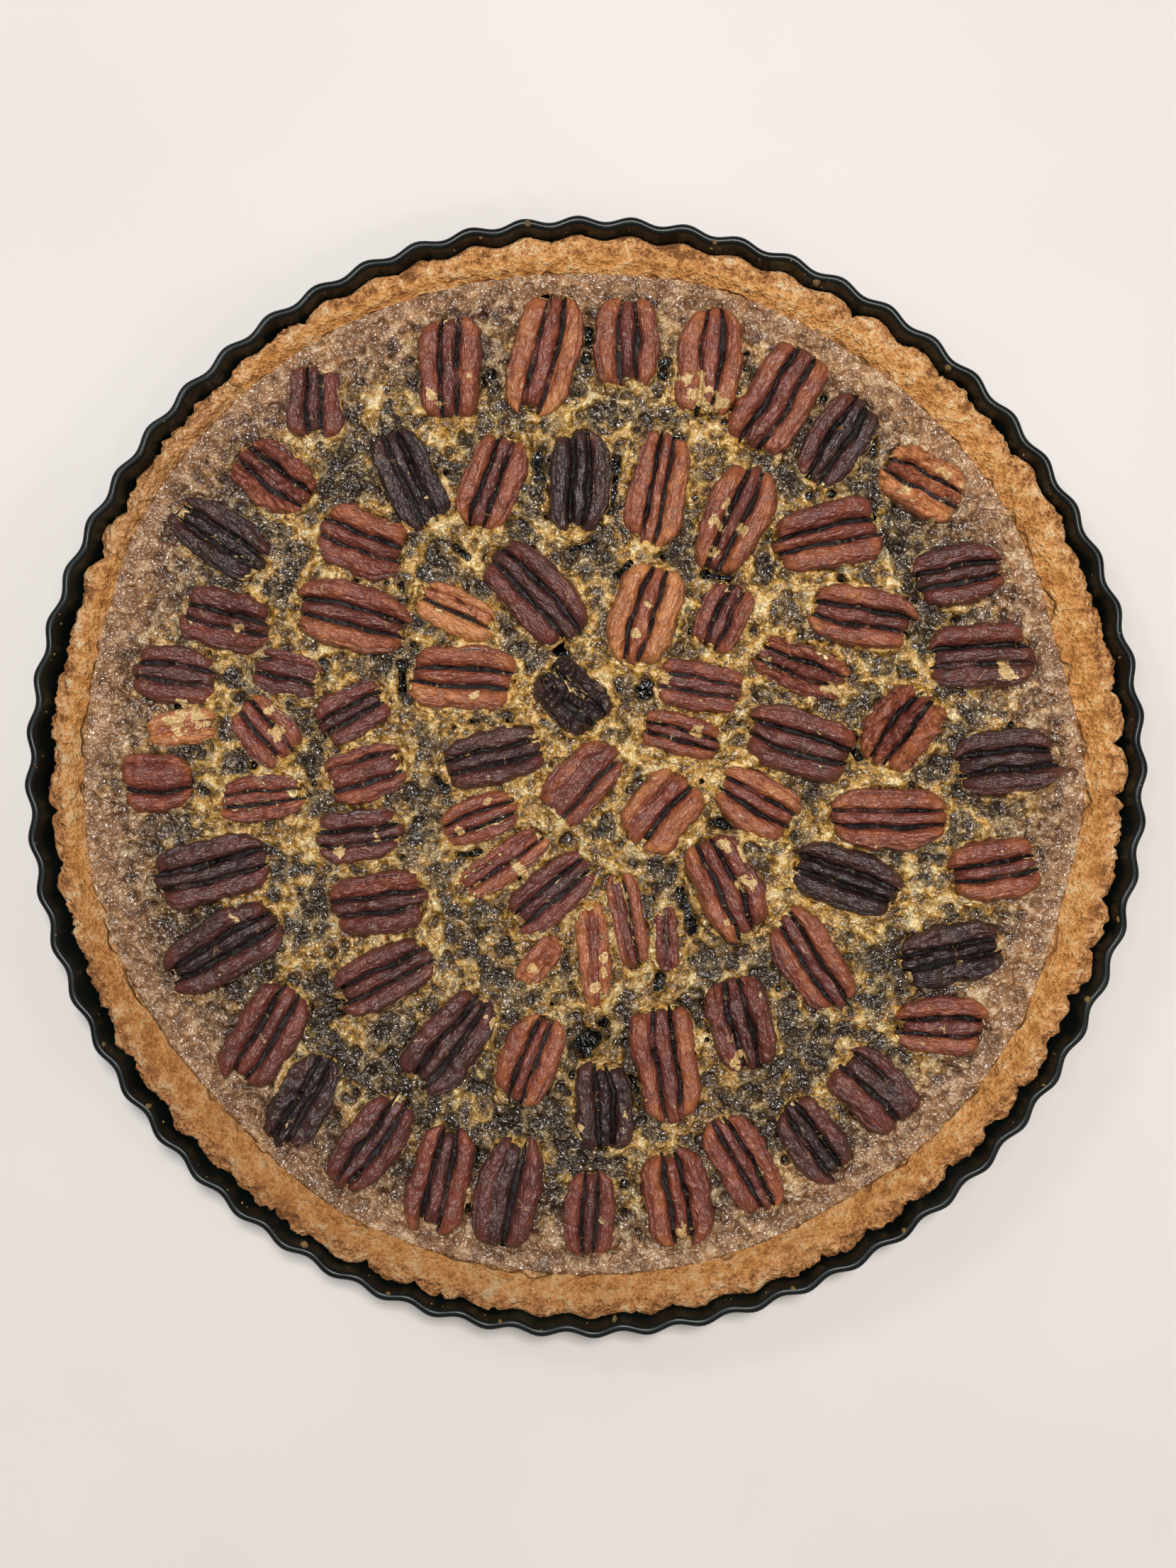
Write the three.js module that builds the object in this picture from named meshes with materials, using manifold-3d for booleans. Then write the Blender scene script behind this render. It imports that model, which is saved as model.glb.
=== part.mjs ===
// A whole pecan pie in its own fluted tart tin, in millimetres, +Z up.
// The origin is the middle of the tin's flat underside.
import * as THREE from "three";
import { ImprovedNoise } from "three/addons/math/ImprovedNoise.js";
import { mergeVertices } from "three/addons/utils/BufferGeometryUtils.js";
import Module from "manifold-3d";

// Tin: thin sheet with a leaning fluted wall and a rim rolled into a bead
const TIN_RADIUS = 141;
const TIN_HEIGHT = 28;
const SHEET = 0.8;
const BEAD_RADIUS = 1.2;
const WALL_LEAN = 0.295;
const FLUTES = 64;
const FLUTE_DEPTH = 0.79;
const FIRST_FLUTE = 0.015;
const TIN_STEPS = 4 * FLUTES;

// Crust: a pastry case that fills the tin, with a craggy top and a slope down to the filling
const CLEARANCE = 0.5;
const EDGE_CLEARANCE = 0.8;
const CRUST_STEPS = 3 * FLUTES;
const CRUST_EDGE_RADIUS = 136.7;
const CRUST_EDGE_HEIGHT = 24.1;
const CRUST_CREST_RADIUS = 132;
const CRUST_CREST_HEIGHT = 25.2;
const CRUST_SLOPE_WIDTH = 3;
const CRUST_INNER_RADIUS = 127;
const CRUST_INNER_HEIGHT = 22.3;
const CRUST_FLOOR = 5;
const CRUST_INWARD_SLOPE = 3;
const CRUST_FLUTE_DEPTH = 1.1;
const CRUST_SHIFT = new THREE.Vector2(0.22, 0.42);
const CRUST_OVAL = 0.7;
const CRAG_SIZE = 9;
const CRAG_HEIGHT = 0.55;
const CRAG_REACH = 0.6;
const CRAG_LAYER = 2.6;

// Reaches and places inside the pie were measured in the plane of the rim, a little above them
const SPREAD = 1.01;

// The stretch of rim, round 143 degrees, that sank in the oven and took an overflow
const SUNKEN_MIDDLE = THREE.MathUtils.degToRad(143);
const SUNKEN_HALF_WIDTH = THREE.MathUtils.degToRad(16);
const SUNKEN_DEPTH = 1.1;
const SUNKEN_LEVEL_SHARE = 0.5;

// Filling: set custard, gently lumpy, with its reach measured every fifteen degrees from +X round
const FILLING_REACH = [
  125.5, 122.8, 125.2, 125.6, 126, 127.3, 126.6, 128, 129.4, 129.4, 129.4, 127.2,
  126.5, 126.7, 124.6, 123.4, 125.5, 125.4, 125.2, 125.4, 124.7, 125.7, 125.3, 123.9,
];
const FILLING_HEIGHT = 21.6;
const FILLING_STEPS = FLUTES;
const FILLING_CELLS = 14;
const LUMP_SIZE = 21;
const LUMP_HEIGHT = 0.7;
const LUMP_LAYER = 5.1;

// Pecan halves
const SINK = 1.6;
const THICKNESS_TO_WIDTH = 0.35;
const POCKET_GAP = 0.45;
const POCKET_FLOOR_GAP = 0.3;
const OUTLINE_FULLNESS = 0.7;
const CROWN_FULLNESS = 0.45;
const PECAN_NODES = 57;
const STATIONS = 4;

// Each pecan half: x, y, heading in degrees, length, width
const PECANS = [
  [-68.2, 94.6, 91, 20, 14.5],
  [-78.5, 76.2, -38, 23.5, 16],
  [-92.7, 60.4, -33, 29, 15.5],
  [-90.8, 39.9, -14, 25, 16],
  [-104.2, 25.5, -7, 22.5, 15.2],
  [-101.6, 12.4, 8, 19.5, 9.5],
  [-75.5, 25.4, -14, 20, 12],
  [-80.8, 11.7, -50, 20, 14.5],
  [-58.8, 16.3, 27, 21, 14],
  [-59.2, 40.2, -14, 31.5, 17.5],
  [-56.3, 59.6, -22, 25, 17],
  [-44.2, 75, -64, 28.5, 15],
  [-33.9, 102.7, 90, 29.5, 16.5],
  [-23.3, 75, 70, 27, 15.5],
  [-33, 41.3, -24, 22.5, 12.2],
  [-31.2, 25, -3, 30, 16.8],
  [-13.4, 46, -47, 33.5, 17],
  [-3.4, 20.4, -42, 22, 15.5],
  [-23.4, 5.1, 14, 29.5, 15],
  [-11, 107, 76, 34, 17.5],
  [10.9, 109.9, 91, 25, 17.5],
  [30.8, 104.2, 84, 29.5, 17],
  [48.2, 96, 58, 33.5, 18],
  [63.4, 85, 58, 27, 15.5],
  [85.3, 74, -27, 24, 16],
  [93.7, 51, 10, 24.5, 16],
  [99.3, 29.7, 3, 29, 17.2],
  [61.2, 60.5, 11, 31, 17.5],
  [69.8, 40.4, -11, 29, 16],
  [-2.3, 74.5, 87, 27.5, 16.5],
  [18, 73.2, 79, 32, 15.5],
  [37.1, 65.2, 66, 30.5, 17.5],
  [15.2, 40.7, 72, 28.4, 18],
  [34.9, 40.2, 65, 20.5, 13],
  [54.8, 27.8, -19, 27, 13],
  [29, 22.7, -10, 24.5, 13.2],
  [23.8, 10.6, -16, 22.5, 11],
  [54, 9.3, -18, 30.5, 17],
  [80.1, 12.4, 52, 25, 18],
  [106.6, 3.2, 6, 29, 17],
  [76.2, -9.8, -1, 31.5, 16.5],
  [103, -23, 9, 26, 16.5],
  [66, -26, -19, 31, 16.5],
  [57.5, -46.2, -57, 31.2, 16],
  [92.6, -44.8, 11, 29.5, 16.5],
  [89.7, -62.8, -1, 25, 15.5],
  [72.4, -79.8, -44, 26, 17],
  [57.6, -91.4, -56, 24.5, 15.5],
  [39.6, -98, -60, 29, 15.5],
  [22.3, -106, -80, 26.5, 18],
  [1, -110.3, 87, 23.5, 14],
  [-19.2, -105.2, 76, 32, 17],
  [-36.8, -101.5, 77, 29.5, 16],
  [-54.8, -92, 54, 29.5, 15.5],
  [-71.5, -81.4, 60, 28, 15],
  [-81.4, -64.8, 58, 30.5, 17],
  [-91.8, -43.6, 30, 34, 17.5],
  [-94.8, -23.1, 13, 31, 17],
  [-108.7, -1, 0, 20, 16],
  [-81.8, -5.4, 6, 24, 12.5],
  [-55.6, 1.1, 17, 22.5, 14.3],
  [-57.4, -14.2, 7, 24, 14],
  [-52.4, -31.5, 8, 27, 17],
  [-50.6, -50.4, 26, 28.5, 15.5],
  [-34.7, -67, 52, 30.5, 17],
  [-13.8, -71.6, 68, 25, 16],
  [3.8, -83.4, 94, 25.5, 15.5],
  [20.2, -71.8, 97, 32, 17],
  [39.6, -62.6, 104, 26, 17],
  [35, -28.2, 115, 30, 17],
  [43.4, -6.3, -30, 25, 15.5],
  [19.3, -8.9, 51, 22.5, 17],
  [-0.9, -1.8, 48, 26.5, 14.5],
  [-27, -10.6, 20, 22, 12.5],
  [-20.6, -21.4, 34, 27, 10.5],
  [-8.8, -29.3, 40, 26.5, 14.2],
  [-11.8, -46, 52, 16.5, 8],
  [1.7, -44.7, 95, 29.5, 9],
  [10.8, -36.6, 101, 27, 9],
  [20.4, -40.8, 92, 17.5, 6.5],
].map(([x, y, heading, length, width], place) => ({
  name: "pecan_" + String(place + 1).padStart(2, "0"),
  x: x * SPREAD,
  y: y * SPREAD,
  heading: THREE.MathUtils.degToRad(heading),
  length,
  width,
}));

// Round a pecan half, from one lower edge over three ridges and two grooves to the other, then the flat
// underside: how far out to the side, and how high, as shares of its half width and its thickness
const PECAN_SECTION = [
  [1, 0],
  [0.7, 0.8],
  [0.32, 0.66],
  [0, 1],
  [-0.32, 0.66],
  [-0.7, 0.8],
  [-1, 0],
  [0, 0],
];

const wasm = await Module();
wasm.setup();
const perlin = new ImprovedNoise();

// A smooth random height between about -1 and 1, with bumps the given size, the same on every run
function bumps(x, y, size, layer) {
  return perlin.noise(x / size, y / size, layer);
}

function onCircle(radius, angle) {
  return [radius * Math.cos(angle), radius * Math.sin(angle)];
}

function fluteWave(angle) {
  return Math.cos(FLUTES * (angle - FIRST_FLUTE));
}

// The radius of the tin's inner wall, before its flutes
function tinInside(height) {
  return TIN_RADIUS - 2 * BEAD_RADIUS - WALL_LEAN * (TIN_HEIGHT - BEAD_RADIUS - height);
}

// A closed profile turned about the Z axis. Where a point of it has a third value, that is a function
// of the angle, and says how far the point moves out and up there.
function turned(profile, steps) {
  const points = profile.map(([radius, height]) => new THREE.Vector2(radius, height));
  const geometry = new THREE.LatheGeometry(points, steps, FIRST_FLUTE);
  geometry.rotateX(Math.PI / 2);
  const position = geometry.attributes.position;
  for (let i = 0; i < position.count; i++) {
    const [radius, height, move] = profile[i % profile.length];
    if (move) {
      const angle = Math.atan2(position.getY(i), position.getX(i));
      const [out, up] = move(angle);
      const [x, y] = onCircle(radius + out, angle);
      position.setXYZ(i, x, y, height + up);
    }
  }
  return geometry;
}

// Closed geometry to a solid that can be joined and cut, and back
function toSolid(geometry) {
  const bare = geometry.index ? geometry.toNonIndexed() : geometry.clone();
  bare.deleteAttribute("normal");
  bare.deleteAttribute("uv");
  const merged = mergeVertices(bare);
  return new wasm.Manifold(
    new wasm.Mesh({
      numProp: 3,
      vertProperties: merged.attributes.position.array,
      triVerts: new Uint32Array(merged.index.array),
    }),
  );
}

function toGeometry(solid) {
  const { vertProperties, triVerts } = solid.getMesh();
  const geometry = new THREE.BufferGeometry();
  geometry.setAttribute("position", new THREE.BufferAttribute(vertProperties, 3));
  geometry.setIndex(new THREE.BufferAttribute(triVerts, 1));
  geometry.computeVertexNormals();
  return geometry;
}

function tinGeometry() {
  const beadMiddle = TIN_HEIGHT - BEAD_RADIUS;
  const underBead = beadMiddle - BEAD_RADIUS;
  const flute = (angle) => [FLUTE_DEPTH * fluteWave(angle), 0];
  const profile = [
    [0, 0],
    [tinInside(0) + SHEET, 0, flute],
    [tinInside(underBead) + SHEET, underBead, flute],
    [TIN_RADIUS, beadMiddle, flute],
    [TIN_RADIUS - BEAD_RADIUS, TIN_HEIGHT, flute],
    [tinInside(beadMiddle), beadMiddle, flute],
    [tinInside(SHEET), SHEET, flute],
    [0, SHEET],
  ];
  return turned(profile, TIN_STEPS);
}

// The radius at which the crust meets the filling
const fillingEdge = new THREE.CatmullRomCurve3(
  FILLING_REACH.map((reach, i) => {
    const [x, y] = onCircle(reach * SPREAD, (2 * Math.PI * i) / FILLING_REACH.length);
    return new THREE.Vector3(x, y, 0);
  }),
  true,
);
function fillingReach(angle) {
  const turn = angle / (2 * Math.PI);
  return fillingEdge.getPoint(turn - Math.floor(turn)).length();
}

// 1 in the middle of the sunken stretch of rim, 0 outside it
function sunken(angle) {
  const away = Math.abs(angle - SUNKEN_MIDDLE) / SUNKEN_HALF_WIDTH;
  return 1 - THREE.MathUtils.smoothstep(away, SUNKEN_LEVEL_SHARE, 1);
}

function crustGeometry() {
  const floor = SHEET + CLEARANCE;
  const foot = tinInside(floor) - FLUTE_DEPTH - CLEARANCE;
  const crag = (angle) => bumps(...onCircle(CRUST_CREST_RADIUS, angle), CRAG_SIZE, CRAG_LAYER);
  const rise = (angle) => CRAG_HEIGHT * crag(angle) - SUNKEN_DEPTH * sunken(angle);
  const edge = (angle) => {
    const wave = fluteWave(angle);
    const shift = CRUST_SHIFT.x * Math.cos(angle) + CRUST_SHIFT.y * Math.sin(angle);
    const oval = -CRUST_OVAL * Math.cos(2 * angle);
    const out = shift + oval + CRUST_FLUTE_DEPTH * wave + CRAG_REACH * crag(angle);
    const room = tinInside(CRUST_EDGE_HEIGHT) + FLUTE_DEPTH * wave - EDGE_CLEARANCE;
    return [Math.min(out, room - CRUST_EDGE_RADIUS), rise(angle)];
  };
  const crest = (angle) => {
    const least = fillingReach(angle) + CRUST_SLOPE_WIDTH;
    return [Math.max(least, CRUST_CREST_RADIUS) - CRUST_CREST_RADIUS, rise(angle)];
  };
  const inner = (angle) => [fillingReach(angle) - CRUST_INNER_RADIUS, 0];
  const profile = [
    [0, floor],
    [foot, floor],
    [CRUST_EDGE_RADIUS, CRUST_EDGE_HEIGHT, edge],
    [CRUST_CREST_RADIUS, CRUST_CREST_HEIGHT, crest],
    [CRUST_INNER_RADIUS, CRUST_INNER_HEIGHT, inner],
    [CRUST_INNER_RADIUS - CRUST_INWARD_SLOPE, CRUST_FLOOR, inner],
    [0, CRUST_FLOOR],
  ];
  return turned(profile, CRUST_STEPS);
}

// The pecan half's geometry starts as a ball with its poles at the two tips
function pecanGeometry(pecan) {
  const around = PECAN_SECTION.length;
  const geometry = new THREE.SphereGeometry(1, around, STATIONS);
  const position = geometry.attributes.position;
  const thickness = pecan.width * THICKNESS_TO_WIDTH;
  for (let i = 0; i < position.count; i++) {
    const along = position.getY(i);
    const girth = Math.sqrt(Math.max(0, 1 - along * along));
    const turn = Math.atan2(position.getZ(i), -position.getX(i)) / (2 * Math.PI);
    const [side, rise] = PECAN_SECTION[(Math.round(turn * around) + around) % around];
    position.setXYZ(
      i,
      (along * pecan.length) / 2,
      (side * girth ** OUTLINE_FULLNESS * pecan.width) / 2,
      rise * girth ** CROWN_FULLNESS * thickness,
    );
  }
  geometry.computeVertexNormals();
  return geometry;
}

// A prism round a pecan half, up out of the filling
function pocketGeometry(pecan) {
  const outline = [];
  const corners = 2 * STATIONS;
  for (let i = 0; i < corners; i++) {
    const angle = (2 * Math.PI * i) / corners;
    const girth = Math.abs(Math.sin(angle)) ** OUTLINE_FULLNESS;
    outline.push(
      new THREE.Vector2(
        Math.cos(angle) * (pecan.length / 2 + POCKET_GAP),
        Math.sign(Math.sin(angle)) * girth * (pecan.width / 2 + POCKET_GAP),
      ),
    );
  }
  const settings = { depth: TIN_HEIGHT, bevelEnabled: false };
  const geometry = new THREE.ExtrudeGeometry(new THREE.Shape(outline), settings);
  geometry.translate(0, 0, -POCKET_FLOOR_GAP);
  return geometry;
}

function placed(geometry, pecan) {
  geometry.rotateZ(pecan.heading);
  return geometry.translate(pecan.x, pecan.y, FILLING_HEIGHT - SINK);
}

// The filling: a lumpy block, trimmed to the hollow in the crust, with the smallest pecan halves
// joined on and a pocket cut for each of the others
function fillingGeometry(fused, separate) {
  const bottom = CRUST_FLOOR + CLEARANCE;
  const across = 2 * TIN_RADIUS;
  const depth = FILLING_HEIGHT - bottom;
  const block = new THREE.BoxGeometry(across, across, depth, FILLING_CELLS, FILLING_CELLS, 1);
  block.translate(0, 0, bottom + depth / 2);
  const position = block.attributes.position;
  for (let i = 0; i < position.count; i++) {
    const [x, y, height] = [position.getX(i), position.getY(i), position.getZ(i)];
    if (height > bottom) {
      position.setZ(i, height + LUMP_HEIGHT * bumps(x, y, LUMP_SIZE, LUMP_LAYER));
    }
  }
  const radius = CRUST_INNER_RADIUS - CLEARANCE;
  const side = (angle) => [fillingReach(angle) - CRUST_INNER_RADIUS, 0];
  const profile = [
    [0, bottom],
    [radius - CRUST_INWARD_SLOPE, bottom, side],
    [radius, CRUST_INNER_HEIGHT, side],
    [radius, TIN_HEIGHT, side],
    [0, TIN_HEIGHT],
  ];
  const hollow = turned(profile, FILLING_STEPS);
  let solid = toSolid(block).intersect(toSolid(hollow));
  for (const pecan of fused) {
    solid = solid.add(toSolid(placed(pecanGeometry(pecan), pecan)));
  }
  for (const pecan of separate) {
    solid = solid.subtract(toSolid(placed(pocketGeometry(pecan), pecan)));
  }
  return toGeometry(solid);
}

function piece(name, geometry, color, roughness) {
  const mesh = new THREE.Mesh(
    geometry,
    new THREE.MeshStandardMaterial({ color, roughness, metalness: 0 }),
  );
  mesh.name = name;
  return mesh;
}

const bySize = [...PECANS].sort((a, b) => b.length * b.width - a.length * a.width);
const separate = bySize.slice(0, PECAN_NODES);
const fused = bySize.slice(PECAN_NODES);

const pie = new THREE.Group();
pie.add(piece("tin", tinGeometry(), "#1c1a19", 0.4));
pie.add(piece("crust", crustGeometry(), "#c08a4e", 0.85));
pie.add(piece("filling", fillingGeometry(fused, separate), "#6b5638", 0.35));
for (const pecan of PECANS.filter((one) => separate.includes(one))) {
  pie.add(piece(pecan.name, placed(pecanGeometry(pecan), pecan), "#5e3422", 0.4));
}

export default pie;
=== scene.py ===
"""A whole pecan pie in its own fluted tart tin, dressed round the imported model."""
import math
import random
from itertools import combinations

import bmesh
import bpy
import numpy as np
from mathutils import Matrix, Vector, noise


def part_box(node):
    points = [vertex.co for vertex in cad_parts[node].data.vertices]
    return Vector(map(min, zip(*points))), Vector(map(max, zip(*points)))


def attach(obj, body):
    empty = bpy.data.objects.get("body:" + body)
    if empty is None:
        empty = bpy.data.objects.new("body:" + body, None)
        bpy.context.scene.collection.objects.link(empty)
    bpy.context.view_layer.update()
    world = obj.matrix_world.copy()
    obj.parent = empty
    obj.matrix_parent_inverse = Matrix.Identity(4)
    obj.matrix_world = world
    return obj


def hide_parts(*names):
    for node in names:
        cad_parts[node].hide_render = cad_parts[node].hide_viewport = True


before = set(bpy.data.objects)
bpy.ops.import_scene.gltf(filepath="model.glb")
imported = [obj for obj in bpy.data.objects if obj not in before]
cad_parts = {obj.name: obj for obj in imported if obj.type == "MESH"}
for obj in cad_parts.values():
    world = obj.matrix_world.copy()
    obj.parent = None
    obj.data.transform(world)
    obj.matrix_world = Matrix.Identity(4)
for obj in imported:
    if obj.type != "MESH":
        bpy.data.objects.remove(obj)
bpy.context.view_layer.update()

MM = 0.001

# Tin: its rim circle and height come from the frame, its flutes repeat the part's
FLUTES = 64
FIRST_FLUTE = 0.015
FLUTE_DEPTH = 0.79 * MM
TIN_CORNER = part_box("tin")[1]
RIM_TOP = TIN_CORNER.z
RIM_RADIUS = TIN_CORNER.x - FLUTE_DEPTH
SHEET = 0.8 * MM
BEAD_RADIUS = 1.2 * MM
WALL_LEAN = 0.295
TIN_STEPS = 12 * FLUTES
BEAD_POINTS = 14
BEAD_START = math.radians(-62)
BEAD_TURN = math.radians(242)
TIN_FOOT = 0.9 * MM
OUTER_ROWS = 14
INNER_ROWS = 16
FLAT_SHARE = 0.9
CORNER_SHARE = 0.97
SECTORS = 16

# Crust: a pastry case with a craggy top
CRUST_EDGE_RADIUS = 136.7 * MM
CRUST_EDGE_HEIGHT = 24.1 * MM
CRUST_CREST_RADIUS = 132.3 * MM
CRUST_CREST_HEIGHT = 25.1 * MM
CRUST_SLOPE_WIDTH = 3 * MM
CRUST_INNER_HEIGHT = 22.2 * MM
CRUST_FLOOR = 5 * MM
CRUST_INNER_WALL = [(122 * MM, CRUST_FLOOR + 8 * MM), (120 * MM, CRUST_FLOOR)]
CRUST_STEPS = 1280
CRUST_WALL_ROWS = 6
CRUST_TOP_ROWS = 34
CRUST_TOP_WIDTH = 11 * MM
CREST_SHARE = 0.62
CRUST_FLUTE_DEPTH = 1.25 * MM
PRESSED_MEAN = 0.8
SHOULDER_DROP = 1.4 * MM
TUCKED_IN = 1.2 * MM
TUCKED_DOWN = 0.6 * MM
CRUST_SHIFT = Vector((0.22, 0.42)) * MM
CRUST_OVAL = 0.7 * MM
CRUST_CLEARANCE = 0.5 * MM
CRUST_INWARD_SLOPE = 3 * MM
# Bumps: height, size and a layer of noise of their own, in millimetres
EDGE_BUMPS = [(0.9, 9, 1.3), (1.5, 3, 8.1), (0.8, 1, 2.9)]
PRESSED_BUMPS = [(0.9, 14, 6.7)]
CRUST_WAVES = [(0.55, 9, 2.6)]
CRUST_BUMPS = [(0.8, 3.4, 4.4), (0.3, 1.1, 9.7)]
SPILL_BUMPS = [(0.5, 9, 3.3), (0.25, 2.5, 6.9)]
FILM_BUMPS = [(0.1, 3.5, 7.5), (0.07, 9, 4.5)]
# Cracks in the crust: angle in degrees, outer and inner radius and depth in millimetres
CRACKS = [(55, 136.5, 129.5, 0.7), (57.5, 135, 132, 0.4), (284, 133.5, 128.5, 0.6), (192, 134.5, 130, 0.4)]
EDGE_CLEARANCE = 0.45 * MM
# The side away from the lamps, darkened on the crust and the filling with painted shade
DARKER_SIDE = math.radians(242)
SUNKEN_MIDDLE = math.radians(143)
SUNKEN_HALF_WIDTH = math.radians(16)
SUNKEN_DEPTH = 1.1 * MM

# Filling: its level, and its reach in millimetres every fifteen degrees from +X round, as in the part
FILLING_LEVEL = 21.6 * MM
FILLING_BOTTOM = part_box("filling")[0].z
FILLING_CELLS = 184
FILLING_OVERLAP = 0.5 * MM
SPREAD = 1.01
NUT_MOUND = 2.4 * MM
NUT_SHADOW = 0.7 * MM
CALM_EDGE = 3.5 * MM
RAISED_EDGE = 4 * MM
# Rings along the edge, by how far in each is full and ends: one with few hollows, one browned plum
EVEN_RING = (8 * MM, 24 * MM)
PLUM_RING = (5 * MM, 26 * MM)
HOLE_DEPTH = 2.6
FOAM_RADIUS = 115 * MM
FOAM_BUMPS = [(0.75, 13, 2.2), (0.3, 4, 7.1)]
FROTH_BUMPS = [(0.5, 18, 5.1), (0.8, 7, 1.9), (0.8, 3, 4.2), (0.45, 1.5, 8.8)]
HOLE_BUMPS = [(0.12, 1.1, 3.1), (0.25, 2.7, 5.5)]
FILLING_REACH = [
    125.5, 122.8, 125.2, 125.6, 126, 127.3, 126.6, 128, 129.4, 129.4, 129.4, 127.2,
    126.5, 126.7, 124.6, 123.4, 125.5, 125.4, 125.2, 125.4, 124.7, 125.7, 125.3, 123.9,
]

# Pecan halves: the mesh's steps, and the outline and thickness that the part's nuts have
PECAN_AROUND = 64
PECAN_STATIONS = 60
BACK_SHARE = 0.82
ZONE_SHARES = (0, 0.32, 0.385, 0.615, 0.68, 1)
FOLD_GAP = 0.052
FOLD_LIMIT = 0.62
CROWN_POWER = 7
OUTLINE_FULLNESS = 0.7
THICKNESS_TO_WIDTH = 0.35
LEAST_THICKNESS = 4.4 * MM
SKIN_DEPTH = 0.3 * MM
PECAN_BASE = FILLING_LEVEL - 1.6 * MM

# The pecan halves too small for a node of their own: x, y, heading in degrees, length and width
SMALL_PECANS = {
    1: (-68.2, 94.6, 91, 20, 14.5),
    5: (-104.2, 25.5, -7, 22.5, 15.2),
    6: (-101.6, 12.4, 8, 19.5, 9.5),
    7: (-75.5, 25.4, -14, 20, 12),
    8: (-80.8, 11.7, -50, 20, 14.5),
    9: (-58.8, 16.3, 27, 21, 14),
    15: (-33, 41.3, -24, 22.5, 12.2),
    18: (-3.4, 20.4, -42, 22, 15.5),
    34: (34.9, 40.2, 65, 20.5, 13),
    35: (54.8, 27.8, -19, 27, 13),
    36: (29, 22.7, -10, 24.5, 13.2),
    37: (23.8, 10.6, -16, 22.5, 11),
    51: (1, -110.3, 87, 23.5, 14),
    59: (-108.7, -1, 0, 20, 16),
    60: (-81.8, -5.4, 6, 24, 12.5),
    61: (-55.6, 1.1, 17, 22.5, 14.3),
    62: (-57.4, -14.2, 7, 24, 14),
    74: (-27, -10.6, 20, 22, 12.5),
    75: (-20.6, -21.4, 34, 27, 10.5),
    77: (-11.8, -46, 52, 16.5, 8),
    78: (1.7, -44.7, 95, 29.5, 9),
    79: (10.8, -36.6, 101, 27, 9),
    80: (20.4, -40.8, 92, 17.5, 6.5),
}
PECAN_COUNT = 80

# How dark each pecan half is roasted, and which ones aren't evenly ridged
ROAST = {
    "tan": (0.12, {6, 15, 25, 33}),
    "amber": (0.24, {16, 20, 22, 31, 71, 72, 77, 78}),
    "chestnut": (0.52, {38, 51, 53, 56, 63, 80}),
    "plum": (0.6, {1, 4, 5, 7, 9, 17, 26, 27, 47, 54, 62, 64, 69, 76}),
    "dark plum": (0.76, {19, 24, 40, 48, 52, 57, 58, 65}),
    "charred": (0.95, {3, 12, 18, 30, 43, 45, 55, 67}),
}
RUSSET = 0.38
WRINKLED = {2, 18, 25, 35, 39}
LUMPY = {3, 4, 45, 55, 60, 63, 69}
SMOOTH = {7, 15, 47, 52, 59, 61, 72, 73, 75}
ONE_RIDGE = {6, 77, 78, 80}
TWO_RIDGES = {79}

# Places where a nut's skin has broken off to the pale kernel: x, y and radius in millimetres
CHIPS = [
    (-39, 95, 1.7), (-29.2, 101, 1.2), (-88, 37.5, 1.5), (-103, 14.5, 4.2), (-97.8, 15.2, 3),
    (-77.5, 12, 2.6), (-79.5, 17, 1.2), (-20, 89, 1.3), (24.5, 99.5, 1.8), (28.5, 96, 3.4),
    (32.2, 93.5, 2.4), (29, 100.5, 1.8), (35, 68, 1.5), (33.5, 63, 1.9), (32, 56, 1.5), (39.5, 62, 1.4),
    (89, 77, 2), (94.8, 73.5, 1.4), (81, 72, 1.8), (105.5, 26.5, 2), (19.5, 25.5, 2.1), (62, 22, 2),
    (40.2, -18.6, 2.6), (35, -17, 2), (40.3, -27, 2), (35.5, -37, 1.2), (37, -71.2, 2.2), (22.5, -91, 1.6),
    (24, -115, 2.2), (-62, -19, 1.5), (-52.5, -15.2, 1.2), (-17, -22.8, 1.7), (-28, -4.5, 1.2),
    (-24.5, -6.5, 1), (-31.5, -13.5, 1.3), (-45, -56.8, 1.6), (-23.5, -62, 1.6), (-41.5, -66, 1),
    (-89.5, -34.5, 1.8), (4.3, -45.5, 1.1), (4.2, -49, 1.2), (2.8, -53.5, 1.5), (-13.4, -48.2, 1.5),
    (50.5, 64.5, 0.7), (-27.5, 20.5, 1.4), (-31, 23, 0.8), (12, 36, 1), (15.5, 43, 0.8), (13, -78.5, 0.9),
    (-1.5, -88, 0.9), (27.5, 11, 1.6),
]
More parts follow.
